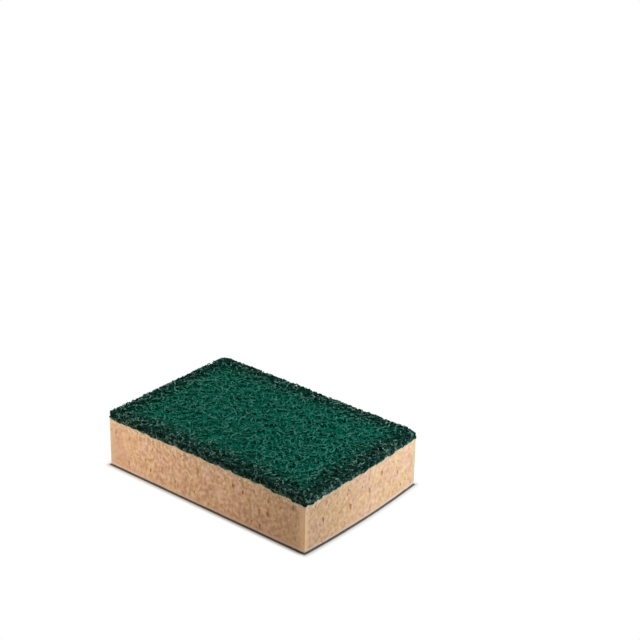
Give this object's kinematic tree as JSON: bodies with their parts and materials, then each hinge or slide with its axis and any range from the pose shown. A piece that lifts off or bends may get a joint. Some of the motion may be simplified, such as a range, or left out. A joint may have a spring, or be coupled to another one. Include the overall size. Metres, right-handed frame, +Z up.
{
  "type": "cleaning sponge",
  "caption": "Rectangular hand sponge: a block of peach open-celled foam with a dark green fibre scouring pad glued over its whole top face, for wiping and scrubbing.",
  "frame": {"origin": "middle of the foam's base, where the sponge lies on a surface", "axes": "+X along the length, +Y across the width, +Z up out of the scouring pad"},
  "size_m": [0.15, 0.1, 0.0365],
  "materials": {
    "foam": "matte open-celled foam, mottled",
    "fibre": "rough web of resin-coated fibres, slightly glossy"
  },
  "bodies": {
    "root": {"foam_block": "foam", "scouring_pad": "fibre"}
  },
  "joints": []
}
